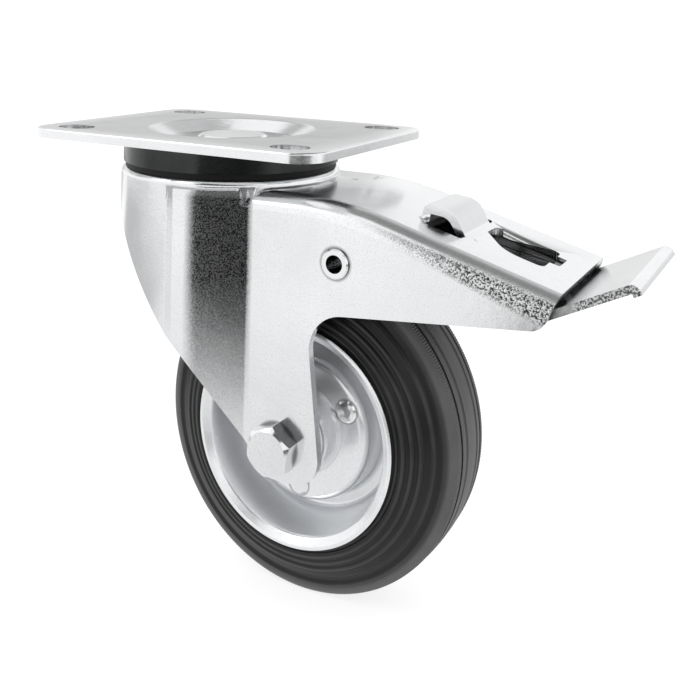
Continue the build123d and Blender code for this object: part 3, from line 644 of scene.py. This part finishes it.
def makeKnurl(name, sizes, sign):
    # a band of fine teeth at the tread's edge: every second row of its top is pulled in
    count = sizes["sections"]
    step = (sizes["end"] - sizes["start"]) / count
    outer = [(sizes["start"] + n * step, sizes["proud"]) for n in range(count + 1)]
    path = outer + [(outer[-1][0], -sizes["deep"]), (outer[0][0], -sizes["deep"])]
    ring = makeRing(name, [(sign * y, treadRadius(sizes, y) + rise) for y, rise in path],
                    2 * sizes["teeth"])
    turn = math.pi / sizes["teeth"]
    for vertex in ring.data.vertices:
        dx = vertex.co.x - axlePlace[0]
        dz = vertex.co.z - axlePlace[1]
        isTop = math.hypot(dx, dz) > treadRadius(sizes, abs(vertex.co.y))
        vertex.select = isTop and round(math.atan2(dz, dx) / turn) % 2 == 1
    bpy.ops.object.mode_set(mode="EDIT")
    scaleRing(1 - sizes["valley"] * sizes["proud"] / sizes["treadR"])
    bpy.ops.object.mode_set(mode="OBJECT")
    dress(ring, tyreRubber, "wheel")
    return ring


for name, sign in (("knurl_near", -1), ("knurl_far", 1)):
    knurl = makeKnurl(name, knurlSizes, sign)
    print(name, "made:", len(knurl.data.polygons), "faces")


tailSizes = dict(neckEnd=0.0371, shank=0.004, deep=0.0003, gap=0.00005, around=96,
                 ringOut=0.0051, ringRise=0.00022, innerRound=0.00015, outerRound=0.0002,
                 innerShare=0.6, outerShare=0.5,
                 threadEnd=0.03845, ridgePitch=0.000625, threadRise=0.00013,
                 threadRoot=0.00003, crestStart=0.44, crestEnd=0.56)


def makeLockRing(sizes):
    # the nylon ring in the axle nut's neck
    face = sizes["neckEnd"]
    inner = sizes["shank"] + sizes["gap"]
    rise = sizes["ringRise"]
    path = [(face - sizes["deep"], inner), (face + sizes["innerShare"] * rise, inner),
            (face + rise, inner + sizes["innerRound"]),
            (face + rise, sizes["ringOut"] - sizes["outerRound"]),
            (face + sizes["outerShare"] * rise, sizes["ringOut"]),
            (face - sizes["deep"], sizes["ringOut"])]
    ring = makeRing("nut_lock_ring", path, sizes["around"])
    dress(ring, nylonRing, "fork")
    return ring


def makeTailThread(sizes):
    # plain ridges round the bolt's tail, outside the nut
    top = sizes["shank"] + sizes["threadRise"]
    root = sizes["shank"] - sizes["threadRoot"]
    y = sizes["neckEnd"] + sizes["ringRise"] + sizes["gap"]
    path = [(y, sizes["shank"] - sizes["deep"]), (y, root)]
    pitch = sizes["ridgePitch"]
    while y + pitch < sizes["threadEnd"]:
        path += [(y + sizes["crestStart"] * pitch, top), (y + sizes["crestEnd"] * pitch, top),
                 (y + pitch, root)]
        y += pitch
    path.append((y, sizes["shank"] - sizes["deep"]))
    thread = makeRing("bolt_thread", path, sizes["around"])
    dress(thread, boltZinc, "fork")
    return thread


lockRing = makeLockRing(tailSizes)
tailThread = makeTailThread(tailSizes)
print("locking ring made:", len(lockRing.data.polygons), "faces")
print("tail thread made:", len(tailThread.data.polygons), "faces")


viewSizes = dict(place=(0.1814, -0.2674, 0.0378), heading=-28.18, roll=1.22, focal=974.1,
                 centre=(337.2, 14.8), frame=700.0, sensor=36.0, clip=(0.01, 50.0))


def makeCamera(sizes):
    # level, turned by its heading and rolled; focal length and centre are in pixels
    data = bpy.data.cameras.new("studio camera")
    camera = bpy.data.objects.new("studio camera", data)
    bpy.context.scene.collection.objects.link(camera)
    turn = math.radians(sizes["heading"])
    forward = Vector((math.sin(turn), math.cos(turn), 0))
    right = Vector((math.cos(turn), -math.sin(turn), 0))
    up = Vector((0, 0, 1))
    tilt = math.radians(sizes["roll"])
    sideways = right * math.cos(tilt) + up * math.sin(tilt)
    upward = up * math.cos(tilt) - right * math.sin(tilt)
    turned = Matrix((sideways, upward, -forward)).transposed().to_4x4()
    camera.matrix_world = Matrix.Translation(sizes["place"]) @ turned
    data.sensor_width = sizes["sensor"]
    data.lens = sizes["focal"] / sizes["frame"] * sizes["sensor"]
    data.shift_x = 0.5 - sizes["centre"][0] / sizes["frame"]
    data.shift_y = sizes["centre"][1] / sizes["frame"] - 0.5
    data.clip_start, data.clip_end = sizes["clip"]
    bpy.context.scene.camera = camera


makeCamera(viewSizes)

studio = dict(floorZ=-0.137, floorSize=12.0, floorColour=0.3, floorRough=0.8, floorShine=0.1,
              floorGlow=0.78, world=1.12, keyPlace=(-0.7, -0.7, 0.8), keyAim=(0.02, 0, -0.05),
              keySize=0.5, keyPower=2.0)


def addFloor(sizes):
    deselectAll()
    bpy.ops.mesh.primitive_plane_add(size=sizes["floorSize"], location=(0, 0, sizes["floorZ"]))
    floor = bpy.context.object
    floor.name = "floor"
    bpy.ops.object.transform_apply(location=True, rotation=True, scale=True)
    m = MaterialMaker("pale floor")
    m.finish(Base_Color=(sizes["floorColour"],) * 3, Roughness=sizes["floorRough"],
             Specular_IOR_Level=sizes["floorShine"], Emission_Color=(1.0, 1.0, 1.0),
             Emission_Strength=sizes["floorGlow"])
    floor.data.materials.append(m.material)


def addCard(name, card, glow):
    # a card between two corners, upright where their y is the same; only reflections show it
    middle = [(a + b) / 2 for a, b in zip(card["low"], card["high"])]
    width, depth, height = [b - a for a, b in zip(card["low"], card["high"])]
    isUpright = depth == 0
    deselectAll()
    bpy.ops.mesh.primitive_plane_add(size=1.0, location=middle,
                                     rotation=(math.pi / 2 if isUpright else 0, 0, 0))
    made = bpy.context.object
    made.name = name
    made.scale = (width, height if isUpright else depth, 1)
    bpy.ops.object.transform_apply(location=True, rotation=True, scale=True)
    m = MaterialMaker(name)
    m.finish(Base_Color=(0.0, 0.0, 0.0), Roughness=1.0, Specular_IOR_Level=0.0,
             Emission_Color=glow(m, card, *m.parts(m.place())), Emission_Strength=1.0)
    made.data.materials.append(m.material)
    made.visible_camera = False
    made.visible_shadow = False
    made.visible_diffuse = False


frontFloorCard = dict(low=(-0.75, -1.3, -0.1365), high=(1.2, 0.12, -0.1365), bright=1.05,
                      edge=0.012, edgeShift=0.035, edgeY=(-0.36, -0.43),
                      dark=1.02, darkX=(0.0, 0.02), darkY=(-0.11, -0.34),
                      grey=0.3, greyX=(-0.17, -0.23), greyY=(-0.46, -0.37),
                      near=0.14, nearY=(-0.26, -0.17))


def frontFloorGlow(m, card, x, y, z):
    edge = card["edge"] - card["edgeShift"] * m.between(y, *card["edgeY"])
    dark = m.between(x - edge, *card["darkX"]) * m.between(y, *card["darkY"])
    grey = m.between(x, *card["greyX"]) * m.between(y, *card["greyY"])
    near = m.between(y, *card["nearY"])
    return (card["bright"] - card["dark"] * dark - card["grey"] * grey
            - card["near"] * near * (1 - dark))


rearFloorCard = dict(low=(-0.8, 0.3, -0.1365), high=(0.8, 1.09, -0.1365), bright=0.85,
                     fall=0.36, fallY=(0.3, 0.5), rise=0.36, riseY=(0.75, 0.95))


def rearFloorGlow(m, card, x, y, z):
    return (card["bright"] - card["fall"] * m.between(y, *card["fallY"])
            + card["rise"] * m.between(y, *card["riseY"]))


backCard = dict(low=(-2.4, 1.1, -0.136), high=(1.0, 1.1, 1.4), leftX=(-0.38, -0.48),
                leftBright=0.72, leftRise=0.22, leftRiseZ=(0.2, 0.3), leftFall=0.42,
                leftFallZ=(0.58, 0.8), rightBright=0.84, rightRise=0.28,
                rightRiseZ=(0.03, 0.12), rightFall=0.5, rightFallZ=(0.48, 0.72))


def backGlow(m, card, x, y, z):
    left = m.between(x, *card["leftX"])
    leftGlow = (card["leftBright"] + card["leftRise"] * m.between(z, *card["leftRiseZ"])
                - card["leftFall"] * m.between(z, *card["leftFallZ"]))
    rightGlow = (card["rightBright"] + card["rightRise"] * m.between(z, *card["rightRiseZ"])
                 - card["rightFall"] * m.between(z, *card["rightFallZ"]))
    return left * leftGlow + (1 - left) * rightGlow


upperCard = dict(low=(-0.4, -0.5, 1.41), high=(1.3, 1.09, 1.41), bright=0.28, rise=0.3,
                 riseY=(0.4, 1.1))


def upperGlow(m, card, x, y, z):
    return card["bright"] + card["rise"] * m.between(y, *card["riseY"])


darkFrontCard = dict(low=(-0.1, -1.0, 0.35), high=(1.2, -1.0, 1.4), bright=0.04, rise=0.1,
                     riseZ=(1.3, 0.3))


def darkFrontGlow(m, card, x, y, z):
    return card["bright"] + card["rise"] * m.between(z, *card["riseZ"])


def addKeyLight(sizes):
    data = bpy.data.lights.new("key light", "AREA")
    data.size = sizes["keySize"]
    data.energy = sizes["keyPower"]
    light = bpy.data.objects.new("key light", data)
    bpy.context.scene.collection.objects.link(light)
    light.location = sizes["keyPlace"]
    aim = Vector(sizes["keyAim"]) - Vector(sizes["keyPlace"])
    light.rotation_euler = aim.to_track_quat("-Z", "Y").to_euler()


def makeWorld(sizes):
    world = bpy.data.worlds.new("studio world")
    bpy.context.scene.world = world
    world.use_nodes = True
    background = world.node_tree.nodes["Background"]
    background.inputs["Color"].default_value = (1, 1, 1, 1)
    background.inputs["Strength"].default_value = sizes["world"]
    bpy.context.scene.view_settings.view_transform = "Standard"


addFloor(studio)
addCard("front floor card", frontFloorCard, frontFloorGlow)
addCard("rear floor card", rearFloorCard, rearFloorGlow)
addCard("back card", backCard, backGlow)
addCard("upper card", upperCard, upperGlow)
addCard("dark front card", darkFrontCard, darkFrontGlow)
makeWorld(studio)
addKeyLight(studio)
print("camera, floor and light in place")
